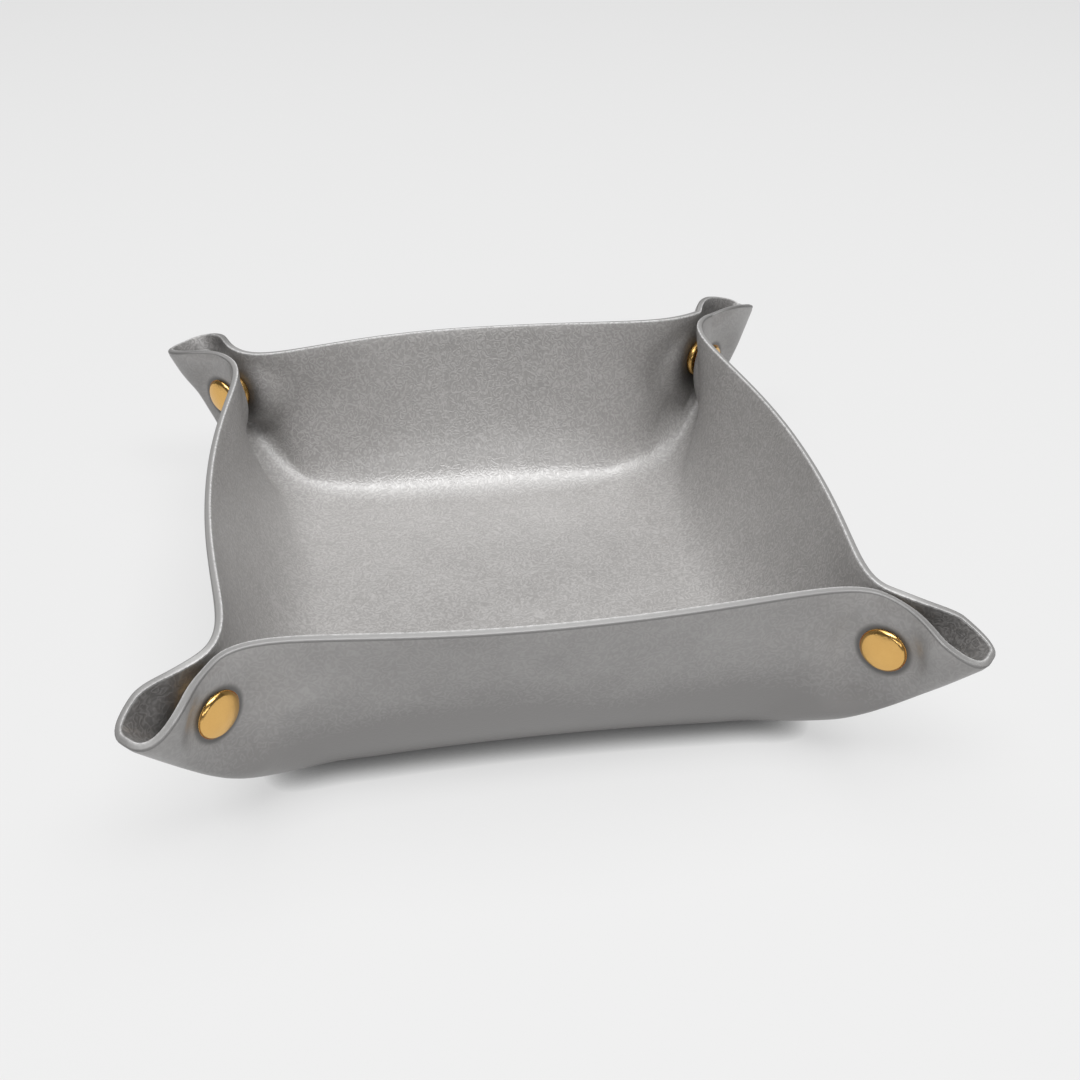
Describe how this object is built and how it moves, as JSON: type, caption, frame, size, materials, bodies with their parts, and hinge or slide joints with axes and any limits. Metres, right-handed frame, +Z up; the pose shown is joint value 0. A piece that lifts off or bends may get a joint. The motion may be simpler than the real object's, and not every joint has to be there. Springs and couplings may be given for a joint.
{
  "type": "leather storage tray",
  "caption": "Square catch-all tray folded from one leather sheet, its corners pinched into outward ears and held by brass ring snaps.",
  "frame": {"origin": "centre of the flat underside of the floor", "axes": "+Z up, -Y towards the front wall, +X to the right"},
  "size_m": [0.2187, 0.2199, 0.0601],
  "materials": {
    "grey_leather": "matte vegetable-tanned leather, warm grey, fine crinkled grain, pale cut edges",
    "cap_brass": "satin brass with a polished rounded shoulder",
    "inner_brass": "plain brass",
    "spring_brass": "hard-drawn spring brass wire"
  },
  "bodies": {
    "root": {"leather_panel": "grey_leather", "front_left_socket_cap": "cap_brass", "front_left_socket": "inner_brass", "front_left_spring_ring": "spring_brass", "front_left_stud": "inner_brass", "front_left_stud_cap": "cap_brass", "front_right_socket_cap": "cap_brass", "front_right_socket": "inner_brass", "front_right_spring_ring": "spring_brass", "front_right_stud": "inner_brass", "front_right_stud_cap": "cap_brass", "back_right_socket_cap": "cap_brass", "back_right_socket": "inner_brass", "back_right_spring_ring": "spring_brass", "back_right_stud": "inner_brass", "back_right_stud_cap": "cap_brass", "back_left_socket_cap": "cap_brass", "back_left_socket": "inner_brass", "back_left_spring_ring": "spring_brass", "back_left_stud": "inner_brass", "back_left_stud_cap": "cap_brass"}
  },
  "joints": []
}
